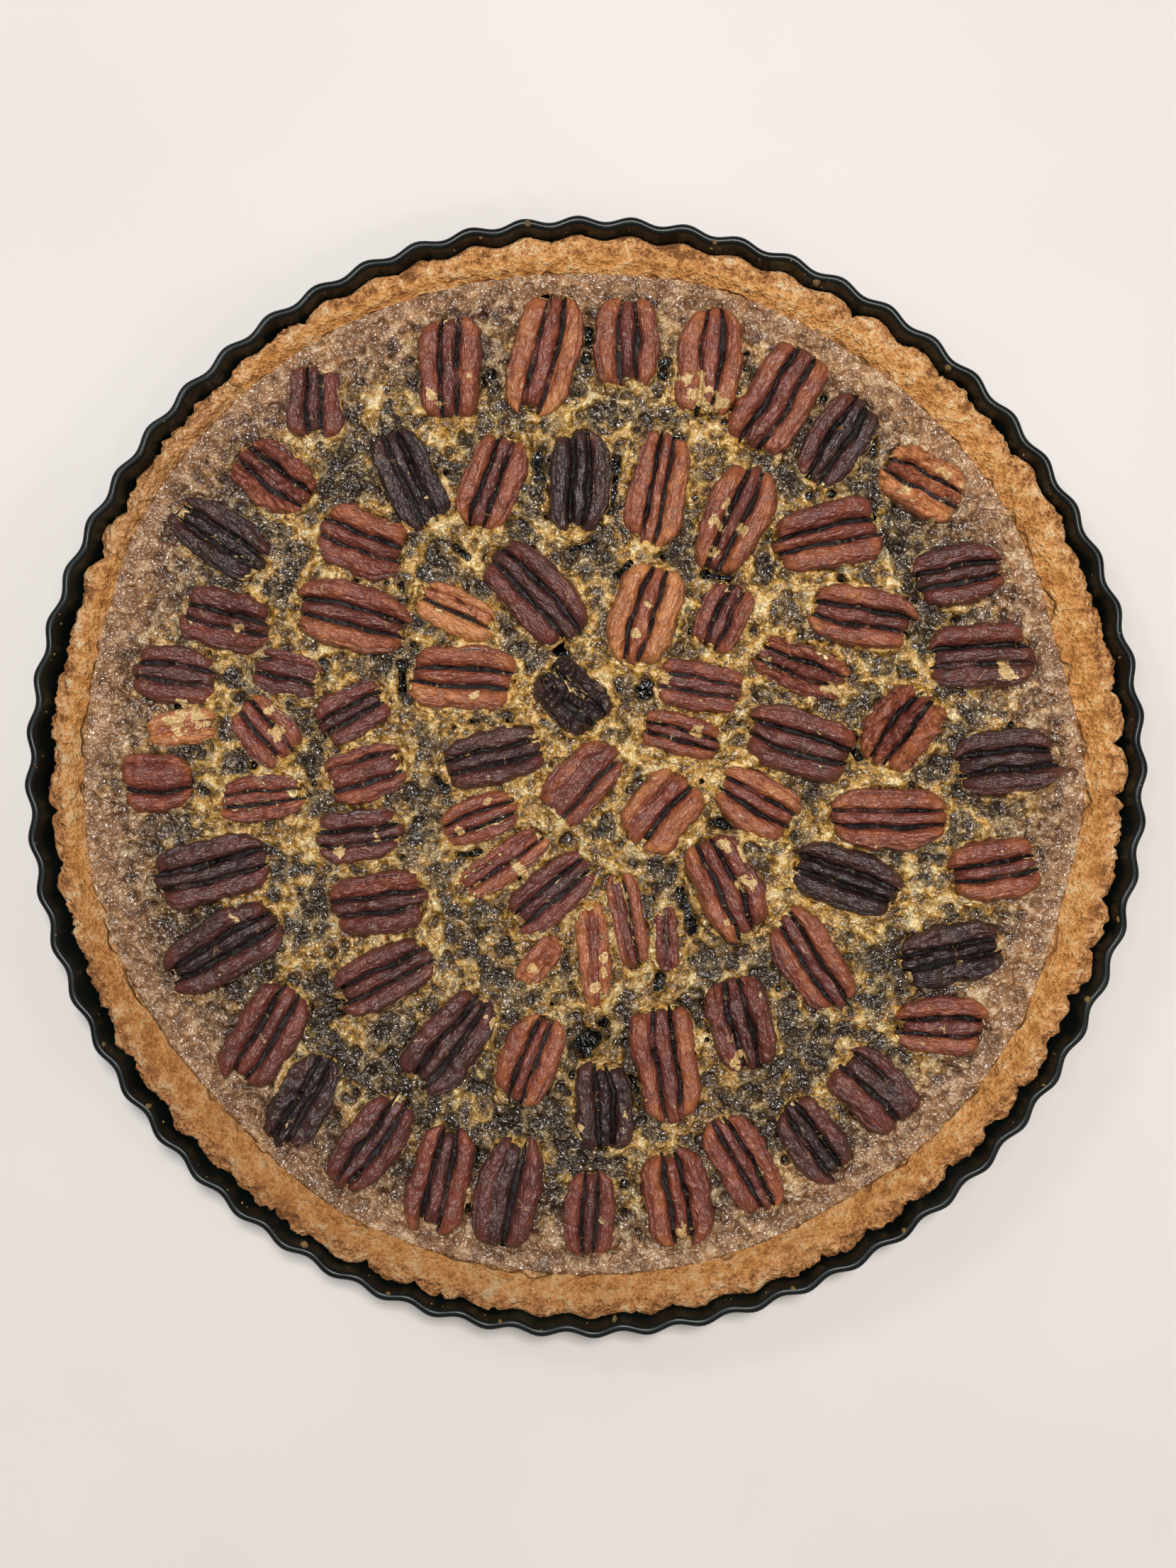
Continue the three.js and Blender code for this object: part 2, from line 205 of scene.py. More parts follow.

# Bubble holes in the filling, painted black with shade: x, y and radius in millimetres, and for a long one
# where it ends
HOLES = [
    (0.5, 113, 1.5, 0.2, 111), (-0.5, 106, 1.5), (19.5, 104.5, 1.5, 19.3, 101.5), (40.5, 107, 1),
    (40.2, 103.6, 1), (38, 97.5, 1.3), (36.5, 93.5, 1), (35, 89.5, 1), (-24, 102, 1.2),
    (-12.1, 82, 1.7, -12.4, 76), (-35.5, 77, 0.9), (7.3, 80, 1.6, 5.8, 67.5), (-10, 66, 0.9),
    (-31, 66, 1, -28.5, 64.5), (-13.8, 57, 1.4), (-47, 48.8, 1), (-50.5, 49, 0.9), (-58.5, 49.5, 0.8),
    (-7, 32, 1.5, -5.5, 30), (2.5, 14, 1), (15, 23.5, 1.9, 14.5, 21), (-46.5, 28.5, 1.3, -46.3, 22),
    (-37.5, -1, 1.3, -35.8, -3), (-17.5, 1.5, 1.5, -13, 3.5), (-69, -2, 1), (-60, -6.2, 0.9),
    (-32, -19.8, 0.8, -27, -19), (-14, -15, 1.9), (-17, -25.5, 0.9), (30, 51.3, 1.2, 36, 50.5),
    (32, -11.5, 1.4, 37, -12), (24, -29, 1.5, 27, -38.5), (29.2, -1, 0.8), (18, -53, 1.5, 18.5, -50),
    (2, -66, 2.4, -0.5, -68.5), (4, -62.5, 1.4), (11.5, -77, 1.5, 12.5, -79), (14, -82.5, 1.2),
    (-3.5, -75.5, 1.1), (50, -96.5, 1.5), (9.5, -97, 0.9), (9.5, -103, 1.1), (9.5, -110, 1.1),
    (-27.5, -98, 1, -28, -94), (-30.5, -109.5, 1.5), (31, -63.5, 0.8), (30.5, -66.5, 0.8),
    (48.5, -53.5, 1.1), (57.5, -30.5, 1.3), (69, 5, 1.5, 67, 9.5), (64.5, 50.2, 1), (51, 62.5, 1.2, 50, 57),
    (56.5, 71.2, 1), (62, 71.5, 1.1), (73, 82, 1, 72.6, 85.5), (60, 96, 1.2), (27.5, 70.8, 0.8),
    (49, 83.5, 1.1, 52, 88), (-45.5, -54, 0.7), (-21, -61.5, 0.7), (-46.5, -20.5, 0.8), (-82.8, 29, 1),
    (-95.5, 30.5, 1), (-66.8, 29.2, 0.9), (-103.5, 18, 1.2), (-84, 3, 1), (107.5, 13, 1), (93.5, 39.8, 0.7),
    (42, 37, 0.9), (26.5, 37, 0.7), (-33.5, 12.5, 0.7), (-20, 14.2, 0.6), (-29, 14, 0.6), (-60, 57, 0.7),
    (-37.5, 57, 0.7), (45.8, -77, 0.7), (-62.5, -86, 0.7), (-3.5, 57.5, 0.9, 2, 59.5), (11, 54, 0.8, 8, 51),
    (-33, 58.5, 1.1, -30, 55.5), (19.5, 55.8, 0.8), (-43.8, 33.6, 0.7), (43.5, 13.4, 0.7),
    (-8.6, -57.5, 0.8),
]

# Crumbs that cling to the tin: angle in degrees, radius in the plane of the rim, size, in millimetres
BIG_CRUMBS = [
    (48.5, 138.7, 2), (65, 138.6, 2.2), (76.5, 139.3, 1.2), (96, 139.6, 1.3), (101, 138.6, 0.9),
    (209, 138.6, 1.2), (217, 138.9, 1.5), (239, 138.6, 1.8), (249, 138.9, 1.2), (261, 138.9, 1),
    (273, 138, 1.6), (292, 139, 1), (305, 139, 1.3), (326, 138.8, 1.1), (336, 139, 1.6), (345, 138.7, 1.2),
]
FINE_CRUMBS = 90

# Grain in millimetres. Real froth, flour and skin are finer, and are drawn as fine as the picture shows
FINE_BUBBLE = 1.0
FINEST_DRAWN = 0.9
FLOUR_GRAIN = 0.85
SKIN_GRAIN = 0.45

# The camera, its lens in millimetres
CAMERA_PLACE = Vector((0.46, -1.79, 480)) * MM + Vector((0, 0, RIM_TOP))
SENSOR_HEIGHT = 36
FOCAL_LENGTH = 43.75

# Lamps: name, place and width in metres, power in watts, tint
LAMPS = [
    ("key", (0.1, 0.33, 1.5), 0.22, 15.8, "#FFFCFA"),
    ("left", (-1.0, 0.9, 1.6), 0.3, 4.6, "#EEF3FF"),
    ("right", (1.3, -0.5, 1.5), 0.3, 3, "#FFF4E6"),
    ("near", (0.15, -0.7, 1.5), 0.12, 1.0, "#FFF8F0"),
    ("far", (-0.45, 0.15, 1.6), 0.12, 1.5, "#F6F8FF"),
]
ROOM_BRIGHTNESS = 0.185
FLOOR_HALF_WIDTH = 2.5


def colour(hex_code):
    """An sRGB hex colour as the linear values that a shader takes."""
    parts = [int(hex_code[i:i + 2], 16) / 255 for i in (1, 3, 5)]
    return [p / 12.92 if p <= 0.04045 else ((p + 0.055) / 1.055) ** 2.4 for p in parts] + [1.0]


def per_metre(size):
    """How often a pattern of that size, in millimetres, repeats in a metre."""
    return 1 / (size * MM)


def add(tree, kind, inputs=None, stops=None, **settings):
    """Adds a node. An input is a value, a hex colour, or the node or socket that feeds it."""
    made = tree.nodes.new("ShaderNode" + kind)
    for name, value in settings.items():
        setattr(made, name, value)
    for key, value in (inputs or {}).items():
        if isinstance(value, bpy.types.Node):
            value = next(socket for socket in value.outputs if socket.enabled)
        if isinstance(value, bpy.types.NodeSocket):
            tree.links.new(value, made.inputs[key])
        else:
            made.inputs[key].default_value = colour(value) if isinstance(value, str) else value
    if stops:
        ramp = made.color_ramp
        while len(ramp.elements) < len(stops):
            ramp.elements.new(0.5)
        for element, (place, tone) in zip(ramp.elements, stops):
            element.position = place
            element.color = colour(tone)
    return made


def new_material(name):
    """An empty material, its tree, its output node, and the place of each point on the pie."""
    made = bpy.data.materials.new(name)
    made.use_nodes = True
    tree = made.node_tree
    tree.nodes.clear()
    output = add(tree, "OutputMaterial")
    return made, tree, output, add(tree, "TexCoord").outputs["Object"]


def smoothstep(low, high, value):
    """0 below the low value, 1 above the high one, easing in and out between them."""
    share = min(1.0, max(0.0, (value - low) / (high - low)))
    return share * share * (3 - 2 * share)


def bumps(x, y, size, layer):
    """Smooth relief between about -1 and 1, its bumps the given size, the same on every run."""
    return noise.noise((x / size, y / size, layer))


def bumps_together(x, y, rows):
    """Bumps of several sizes at one place, in millimetres."""
    return sum(height * bumps(x, y, size * MM, layer) for height, size, layer in rows)


def creases(x, y, size, layer):
    """Relief from 0 to 1 with narrow valleys between rounded lumps."""
    return min(1.0, 2.4 * abs(noise.noise((x / size, y / size, layer))))


def finish_mesh(bm, name, material):
    """The bmesh as a smooth, shaded piece whose object sits at the origin."""
    mesh = bpy.data.meshes.new(name)
    bm.to_mesh(mesh)
    bm.free()
    mesh.polygons.foreach_set("use_smooth", [True] * len(mesh.polygons))
    mesh.materials.append(material)
    piece = bpy.data.objects.new(name, mesh)
    bpy.context.scene.collection.objects.link(piece)
    return piece


def spun(bm, profile, steps):
    """Turns a profile about Z; its ends on the axis close the piece. A third value of a point is kept."""
    mark = bm.verts.layers.float.new("mark")
    chain = []
    for radius, height, *marked in profile:
        vert = bm.verts.new((radius, 0, height))
        vert[mark] = marked[0] if marked else -1
        chain.append(vert)
    edges = [bm.edges.new(pair) for pair in zip(chain, chain[1:])]
    sector = math.tau / SECTORS
    bmesh.ops.spin(bm, geom=chain + edges, axis=(0, 0, 1), cent=(0, 0, 0),
                   steps=steps // SECTORS, angle=sector)
    first = bm.verts[:] + bm.edges[:] + bm.faces[:]
    for number in range(1, SECTORS):
        copy = bmesh.ops.duplicate(bm, geom=first)["geom"]
        moved = [item for item in copy if isinstance(item, bmesh.types.BMVert)]
        bmesh.ops.rotate(bm, verts=moved, cent=(0, 0, 0), matrix=Matrix.Rotation(sector * number, 3, "Z"))
    bmesh.ops.remove_doubles(bm, verts=bm.verts, dist=0.002 * MM)
    bmesh.ops.recalc_face_normals(bm, faces=bm.faces)
    return mark


def flute_wave(angle):
    """1 on the crest of each of the tin's flutes, -1 in the valleys between them."""
    return math.cos(FLUTES * (angle - FIRST_FLUTE))


def lobe(angle):
    """Rounded lobes of dough pressed into the flutes, sharp notches between them, from -1 to 1."""
    return 2 * abs(math.cos(FLUTES / 2 * (angle - FIRST_FLUTE))) ** 0.6 - 1


def tin_inside(height):
    """The radius of the tin's inner wall, before its flutes."""
    return RIM_RADIUS - 2 * BEAD_RADIUS - WALL_LEAN * (RIM_TOP - BEAD_RADIUS - height)


def filling_reach(angle):
    """The radius at which the filling meets the crust: a smooth curve through the measured ones."""
    count = len(FILLING_REACH)
    place = angle / (2 * math.pi) * count
    first = math.floor(place)
    share = place - first
    before, start, end, after = (FILLING_REACH[(first + i) % count] for i in (-1, 0, 1, 2))
    curve = (
        2 * start + (end - before) * share
        + (2 * before - 5 * start + 4 * end - after) * share ** 2
        + (3 * start - before - 3 * end + after) * share ** 3
    )
    return curve / 2 * SPREAD * MM


def sunken(angle):
    """1 in the middle of the sunken stretch of rim, 0 outside it."""
    away = abs((angle - SUNKEN_MIDDLE + math.pi) % (2 * math.pi) - math.pi) / SUNKEN_HALF_WIDTH
    return 1 - smoothstep(0.5, 1, away)


def pecan_places():
    """Each pecan half's middle, heading, length and width, from the frame or else the table."""
    places = {}
    for number in range(1, PECAN_COUNT + 1):
        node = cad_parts.get(f"pecan_{number:02d}")
        if node is None:
            x, y, heading, length, width = SMALL_PECANS[number]
            middle = Vector((x, y)) * SPREAD * MM
            places[number] = (middle, math.radians(heading), length * MM, width * MM)
            continue
        outline = {vert.co.to_2d().freeze() for vert in node.data.vertices}
        pairs = combinations(sorted(outline, key=tuple), 2)
        tip, other = max(pairs, key=lambda ends: (ends[0] - ends[1]).length)
        lengthwise = tip - other if tip.x > other.x else other - tip
        middle = (tip + other) / 2
        sideways = lengthwise.orthogonal().normalized()
        half_width = max(abs((point - middle).dot(sideways)) for point in outline)
        heading = math.atan2(lengthwise.y, lengthwise.x)
        places[number] = (middle, heading, lengthwise.length, 2 * half_width)
    return places


def beyond(points, places):
    """How far each point lies outside the nearest pecan half's outline, below 0 inside it."""
    nearest = np.full(len(points), 1.0)
    for middle, heading, length, width in places.values():
        away = points - np.array(middle)
        along = away @ (math.cos(heading), math.sin(heading)) / (length / 2)
        across = away @ (-math.sin(heading), math.cos(heading)) / (width / 2)
        reach = np.sqrt(along ** 2 + np.abs(across) ** (2 / OUTLINE_FULLNESS)).clip(0.05)
        nearest = np.minimum(nearest, (1 - 1 / reach) * np.linalg.norm(away, axis=1))
    return nearest


def spot(point, spots):
    """1 in the middle of the nearest of the spots, a half on its edge, 0 well outside it."""
    best = 0.0
    x, y = point.x / MM / SPREAD, point.y / MM / SPREAD
    for start_x, start_y, radius, *end in spots:
        if end:
            run_x, run_y = end[0] - start_x, end[1] - start_y
            share = ((x - start_x) * run_x + (y - start_y) * run_y) / (run_x ** 2 + run_y ** 2)
            share = min(1.0, max(0.0, share))
            start_x, start_y = start_x + share * run_x, start_y + share * run_y
        away = math.hypot(x - start_x, y - start_y)
        if away < 2 * radius:
            best = max(best, 1 - away / (2 * radius))
    return best


def tin_piece():
    """The tin: a disc, a leaning wall of thin sheet, and a round bead, all fluted but the disc's middle."""
    middle_height = RIM_TOP - BEAD_RADIUS
    middle_radius = RIM_RADIUS - BEAD_RADIUS

    def wall(outside, rows):
        """The sheet's outer or inner side, from the foot up to the bead."""
        if outside:
            low, high = TIN_FOOT, middle_height - BEAD_RADIUS * 0.8
        else:
            low, high = TIN_FOOT + SHEET, middle_height
        heights = [low + (high - low) * row / rows for row in range(rows + 1)]
        return [(tin_inside(height) + outside * SHEET, height) for height in heights]

    bead = []
    for point in range(BEAD_POINTS):
        angle = BEAD_START + BEAD_TURN * point / (BEAD_POINTS - 1)
        radius = middle_radius + BEAD_RADIUS * math.cos(angle)
        bead.append((radius, middle_height + BEAD_RADIUS * math.sin(angle)))
    foot, flat, corner = (tin_inside(0) * share for share in (1, FLAT_SHARE, CORNER_SHARE))
    under = [(0, 0), (foot / 2, 0), (corner, 0), (foot - 0.2 * MM, 0)]
    inside = [(tin_inside(SHEET) - 0.5 * MM, SHEET), (corner, SHEET), (0, SHEET)]
    profile = under + wall(True, OUTER_ROWS) + bead + wall(False, INNER_ROWS)[::-1] + inside
    bm = bmesh.new()
    spun(bm, profile, TIN_STEPS)
    for vert in bm.verts:
        radius = vert.co.to_2d().length
        if radius > flat:
            angle = math.atan2(vert.co.y, vert.co.x)
            share = smoothstep(flat, corner, radius)
            grown = (radius + share * FLUTE_DEPTH * flute_wave(angle)) / radius
            vert.co.x *= grown
            vert.co.y *= grown
    return bm


def crust_top(share, angle):
    """A point over the crust's top, from its outer edge at 0 to the filling at 1: radius and height."""
    reach = filling_reach(angle)
    crest_radius = max(reach + CRUST_SLOPE_WIDTH, CRUST_CREST_RADIUS)
    shift = CRUST_SHIFT.x * math.cos(angle) + CRUST_SHIFT.y * math.sin(angle)
    place = Vector((math.cos(angle), math.sin(angle))) * CRUST_EDGE_RADIUS
    ragged = bumps_together(*place, EDGE_BUMPS)
    pressed = PRESSED_MEAN + bumps_together(*place, PRESSED_BUMPS)
    edge_radius = (
        CRUST_EDGE_RADIUS + shift - CRUST_OVAL * math.cos(2 * angle)
        + CRUST_FLUTE_DEPTH * pressed * lobe(angle) + ragged * MM
    )
    room = tin_inside(CRUST_EDGE_HEIGHT) + FLUTE_DEPTH * flute_wave(angle) - EDGE_CLEARANCE
    edge_radius = min(edge_radius, room)
    if share < CREST_SHARE:
        across = share / CREST_SHARE
        radius = edge_radius + (crest_radius - edge_radius) * across
        rise = (CRUST_CREST_HEIGHT - CRUST_EDGE_HEIGHT) * math.sin(across * math.pi / 2)
        shoulder = SHOULDER_DROP * (1 - (1 - (1 - across) ** 6) ** 0.5)
        height = CRUST_EDGE_HEIGHT + rise - shoulder
    else:
        across = (share - CREST_SHARE) / (1 - CREST_SHARE)
        radius = crest_radius + (reach - TUCKED_IN - crest_radius) * across
        fall = CRUST_INNER_HEIGHT - TUCKED_DOWN - CRUST_CREST_HEIGHT
        height = CRUST_CREST_HEIGHT + fall * smoothstep(0, 1, across)
    return radius, height - SUNKEN_DEPTH * sunken(angle)


def crust_piece():
    """The crust: a pastry case, its top rough as crumb outside and smoother down to the filling."""
    floor = SHEET + CRUST_CLEARANCE
    foot = tin_inside(floor) - FLUTE_DEPTH - CRUST_CLEARANCE
    wall_top = CRUST_EDGE_RADIUS - 1.2 * MM
    outer_wall = []
    for row in range(CRUST_WALL_ROWS + 1):
        rise = (CRUST_EDGE_HEIGHT - 3 * MM - floor) * row / CRUST_WALL_ROWS
        outer_wall.append((foot + (wall_top - foot) * row / CRUST_WALL_ROWS, floor + rise))
    top = []
    for row in range(CRUST_TOP_ROWS + 1):
        share = row / CRUST_TOP_ROWS
        top.append((CRUST_EDGE_RADIUS - share * CRUST_TOP_WIDTH, CRUST_EDGE_HEIGHT, share))
    profile = [(0, floor)] + outer_wall + top + CRUST_INNER_WALL + [(0, CRUST_FLOOR)]
    bm = bmesh.new()
    mark = spun(bm, profile, CRUST_STEPS)
    glaze, browning_and_shade, slope = (bm.verts.layers.float.new(name) for name in ("glaze", "browning_and_shade", "slope"))
    radial = bm.verts.layers.float_vector.new("radial")
    for vert in bm.verts:
        share = vert[mark]
        if share < 0:
            if vert.co.z > floor + 2 * MM and vert.co.to_2d().length > 130 * MM:
                wave = FLUTE_DEPTH * flute_wave(math.atan2(vert.co.y, vert.co.x))
                grown = 1 + wave / vert.co.to_2d().length
                vert.co.x *= grown
                vert.co.y *= grown
            continue
        angle = math.atan2(vert.co.y, vert.co.x)
        radius, height = crust_top(share, angle)
        x, y = radius * math.cos(angle), radius * math.sin(angle)
        rough = 1 - 0.8 * smoothstep(0.45, 0.7, share)
        around = Vector((math.cos(angle), math.sin(angle), 0)) * CRUST_EDGE_RADIUS
        streak = noise.noise((around + Vector((0, 0, 0.3 * radius))) / (1.7 * MM))
        crumbly = bumps_together(x, y, CRUST_BUMPS) + 0.2 * streak
        crumbly += 0.45 * (creases(x, y, 2.1 * MM, 6.2) - 0.5)
        relief = MM * (bumps_together(x, y, CRUST_WAVES) + rough * crumbly)
        for crack_angle, outer, inner, depth in CRACKS:
            bend = 0.012 * bumps(radius, 0, 2.4 * MM, crack_angle)
            away = abs(angle - math.radians(crack_angle) - bend) * radius
            along = smoothstep(inner * MM, inner * MM + 1 * MM, radius)
            along *= 1 - smoothstep(outer * MM - 1 * MM, outer * MM, radius)
            relief -= depth * MM * along * (1 - smoothstep(0.1 * MM, 0.75 * MM, away))
        spilt = sunken(angle) + bumps_together(x, y, SPILL_BUMPS)
        low = smoothstep(0.3, 0.75, spilt - 0.25 * (1 - smoothstep(0, 0.12, share)))
        film = smoothstep(0.87, 0.98, share + bumps_together(x, y, FILM_BUMPS))
        vert.co = (x, y, height + relief)
        vert[glaze] = max(film, low)
        # Browning: the outer edge is browned by the oven, and some patches at random; low places get painted
        # shade, and the side away from the lamps painted shade too
        edge_brown_and_hollow_shade = 1 - smoothstep(0.0, 0.12, share) + 0.8 * smoothstep(-0.35, -1.1, relief / MM)
        side = 0.5 - 0.5 * math.cos(angle - DARKER_SIDE - math.pi)
        vert[browning_and_shade] = min(1.0, 0.4 * edge_brown_and_hollow_shade + 0.3 * max(0, bumps(x, y, 11 * MM, 5.9)) + 0.85 * side ** 2)
        vert[slope] = smoothstep(0.5, 0.72, share + 0.1 * bumps(x, y, 4 * MM, 1.7))
        vert[radial] = around + Vector((0, 0, 0.3 * radius))
    return bm


def on_disc(x, y):
    """A point of the square of half width 1, moved onto the disc of radius 1, as a radius and angle."""
    if abs(x) > abs(y):
        radius, angle = x, math.pi / 4 * y / x
    elif y:
        radius, angle = y, math.pi / 2 - math.pi / 4 * x / y
    else:
        radius, angle = 0.0, 0.0
    return abs(radius), angle if radius >= 0 else angle + math.pi


def filling_piece(places):
    """The filling: set froth, raised round the nuts, broken by bubble holes, shut below the crust's edge."""
    bm = bmesh.new()
    bmesh.ops.create_grid(bm, x_segments=FILLING_CELLS, y_segments=FILLING_CELLS, size=1)
    for vert in bm.verts:
        share, angle = on_disc(vert.co.x, vert.co.y)
        radius = share * (filling_reach(angle) + FILLING_OVERLAP)
        vert.co = (radius * math.cos(angle), radius * math.sin(angle), 0)

    def finer(chosen):
        """Halves the edges between the chosen points."""
        edges = [edge for edge in bm.edges if all(chosen[vert.index] for vert in edge.verts)]
        bmesh.ops.subdivide_edges(bm, edges=edges, cuts=1, use_grid_fill=True)
        bm.verts.index_update()

    def outside_nuts():
        """How far each point of the mesh lies outside the nearest nut."""
        return beyond(np.array([vert.co.to_2d() for vert in bm.verts]), places)

    bm.verts.index_update()
    finer(outside_nuts() > -1.2 * MM)
    finer([spot(vert.co, HOLES) > 0.12 for vert in bm.verts])

    golden, rim, pit, hollow_shade = (
        bm.verts.layers.float.new(name) for name in ("golden", "rim", "pit", "hollow_shade"))
    for vert, away in zip(bm.verts, outside_nuts()):
        x, y = vert.co.x, vert.co.y
        radius = math.hypot(x, y)
        inward = filling_reach(math.atan2(y, x)) - radius
        near = math.exp(-max(away, 0) / NUT_MOUND)
        inner = 1 - radius / FOAM_RADIUS + 0.35 * bumps(x, y, 22 * MM, 8.6)
        cord = 1 - creases(x, y, 9 * MM, 3.7)
        foam = 0.45 * near * (0.5 + inner) + 0.45 * cord + bumps_together(x, y, FOAM_BUMPS)
        foam += 0.4 * inner - 0.05
        foam = min(1.0, max(0.0, foam))
        hole = spot(vert.co, HOLES) + bumps_together(x, y, HOLE_BUMPS)
        pocket = creases(x, y, 6 * MM, 4.8) * creases(x, y, 3.1 * MM, 7.7)
        relief = bumps_together(x, y, FROTH_BUMPS) + 0.7 * foam - 1.1 * pocket
        calm = smoothstep(0, CALM_EDGE, inward)
        height = (
            relief * (0.15 + 0.85 * calm)
            + (0.7 + 1.3 * bumps(x, y, 4.5 * MM, 6.6)) * near * calm
            + 0.7 * (1 - smoothstep(0, RAISED_EDGE, inward))
            - 2 * smoothstep(0.5 * MM, 2 * MM, -away)
            - HOLE_DEPTH * smoothstep(0.4, 0.62, hole)
        )
        vert.co.z = FILLING_LEVEL + height * MM
        ring = 1 - smoothstep(*EVEN_RING, inward)
        side = 0.5 - 0.5 * math.cos(math.atan2(y, x) - DARKER_SIDE - math.pi)
        # Painted shade: darker in low hollows (less so near the edge) and on the side away from the lamps,
        # and a painted shadow beside each nut
        vert[hollow_shade] = (1 - 0.75 * ring) * smoothstep(0.25, -0.75, relief) + 0.25 * side ** 2
        vert[hollow_shade] += 0.6 * math.exp(-abs(away) / NUT_SHADOW) * (1 - foam)
        vert[golden] = foam
        vert[rim] = 1 - smoothstep(*PLUM_RING, inward + 6 * MM * bumps(x, y, 15 * MM, 9.4))
        vert[pit] = hole

    skirt = bmesh.ops.extrude_edge_only(bm, edges=[edge for edge in bm.edges if edge.is_boundary])
    lower = [item for item in skirt["geom"] if isinstance(item, bmesh.types.BMVert)]
    for vert in lower:
        inset = (vert.co.to_2d().length - CRUST_INWARD_SLOPE) / vert.co.to_2d().length
        vert.co = (vert.co.x * inset, vert.co.y * inset, FILLING_BOTTOM)
    bmesh.ops.holes_fill(bm, edges=[edge for edge in bm.edges if edge.is_boundary])
    bmesh.ops.recalc_face_normals(bm, faces=bm.faces)
    return bm


def pecan_form(number):
    """How one pecan half is shaped, drawn at random by its number and by what kind it is."""
    draw = random.Random(number)
    form = {
        "folds": (-draw.uniform(0.22, 0.32), draw.uniform(0.22, 0.32)),
        "floors": (draw.uniform(0.38, 0.5), draw.uniform(0.38, 0.5)),
        "tops": (draw.uniform(0.9, 1), draw.uniform(0.8, 0.98), draw.uniform(0.9, 1)),
        "ends": [(draw.uniform(0.8, 1.03), draw.uniform(0.8, 1.03)) for _ in range(3)],
        "tints": (draw.uniform(-0.1, 0.06), draw.uniform(0.02, 0.2), draw.uniform(-0.1, 0.06)),
        "lean": (draw.uniform(-0.1, 0.1), draw.uniform(-0.14, 0.14)),
        "shelves": (draw.choice((0, 0.7, 1.1)), draw.choice((0, 0.7, 1.1))),
        "taper": draw.uniform(-0.1, 0.1),
        "bow": draw.uniform(-0.06, 0.06),
        "lumps": 0.08,
        "wrinkles": 0.06,
        "bands": draw.choice((0, 0.5, 1)),
        "power": draw.uniform(2.8, 4.4),
    }
    if number in SMOOTH:
        form["floors"] = (draw.uniform(0.2, 0.5), draw.uniform(0.6, 0.9))
        form["folds"] = (-draw.uniform(0.0, 0.4), draw.uniform(0.35, 0.6))
    if number in ONE_RIDGE:
        form["floors"] = (0.95, 0.95)
        form["bands"] = 3
    if number in TWO_RIDGES:
        form["folds"] = (-0.1, 0.6)
        form["floors"] = (0.3, 0.95)
    if number in LUMPY:
        form["lumps"] = 0.22
        form["wrinkles"] = 0.16
    if number in WRINKLED:
        form["wrinkles"] = 0.42
        form["bands"] = 2
    return form


def girth_at(along, form):
    """How wide a nut is at a place along it, as a share of its full width."""
    return max(0.0, 1 - abs(along) ** form["power"]) ** 0.5


def pecan_back(along, share, form, seed):
    """A point of a nut's ridged back: its side and height as shares, its depth in a fold, its ridge."""
    girth = girth_at(along, form)
    limits = [-1]
    for fold, sign in zip(form["folds"], (-1, 1)):
        wander = 0.1 * noise.noise((along * 1.9, sign * 3.1, seed))
        place = fold * (1 - 0.25 * along ** 2) / max(girth, 0.05) + wander
        place = max(-FOLD_LIMIT, min(FOLD_LIMIT, place))
        gap = FOLD_GAP * (1 + 0.8 * noise.noise((along * 3.3, sign * 1.7, seed)))
        limits += [place - gap, place + gap]
    limits.append(1)
    zone = next(number for number, start in enumerate(ZONE_SHARES[1:]) if share <= start)
    across = 2 * (share - ZONE_SHARES[zone]) / (ZONE_SHARES[zone + 1] - ZONE_SHARES[zone]) - 1
    ridge = zone // 2
    if zone % 2 == 0:
        across = 0.4 * across + 0.6 * math.sin(across * math.pi / 2)
    side = (limits[zone] + limits[zone + 1]) / 2 + across * (limits[zone + 1] - limits[zone]) / 2
    end = form["ends"][ridge][along > 0]
    crown = math.sqrt(max(0.0, 1 - min(1.0, abs(along) / end) ** CROWN_POWER))
    top = form["tops"][ridge]
    fold_number = 0 if side < (limits[2] + limits[3]) / 2 else 1
    floor = form["floors"][fold_number] * (1 + 0.5 * noise.noise((along * 2.6, fold_number + 5.5, seed)))
    roundness = (1 - abs(across) ** 2.5) ** 0.5
    outward = (zone == 0 and across < 0) or (zone == 4 and across > 0)
    # cleft: how deep in a fold or shelf crease a point lies, where the skin gets painted shade
    cleft = 0.0
    if zone % 2:
        rise = floor
        cleft = 1.0
    elif outward:
        ledge = form["shelves"][ridge // 2] * max(0, 0.5 + 1.1 * noise.noise((along * 1.6, ridge, seed)))
        notch = ledge * math.exp(-((abs(across) - 0.45 - 0.1 * along) / 0.075) ** 2)
        rise = top * (roundness - 0.35 * notch)
        cleft = min(1.0, notch)
    else:
        rise = floor + (top - floor) * roundness
        cleft = 1 - smoothstep(0.05, 0.55, roundness)
    cleft *= 1 - smoothstep(0.45, 0.8, floor)
    rise *= 1 + form["lean"][0] * along + form["lean"][1] * side
    return side * girth * (1 + form["taper"] * along), crown * rise, cleft, ridge


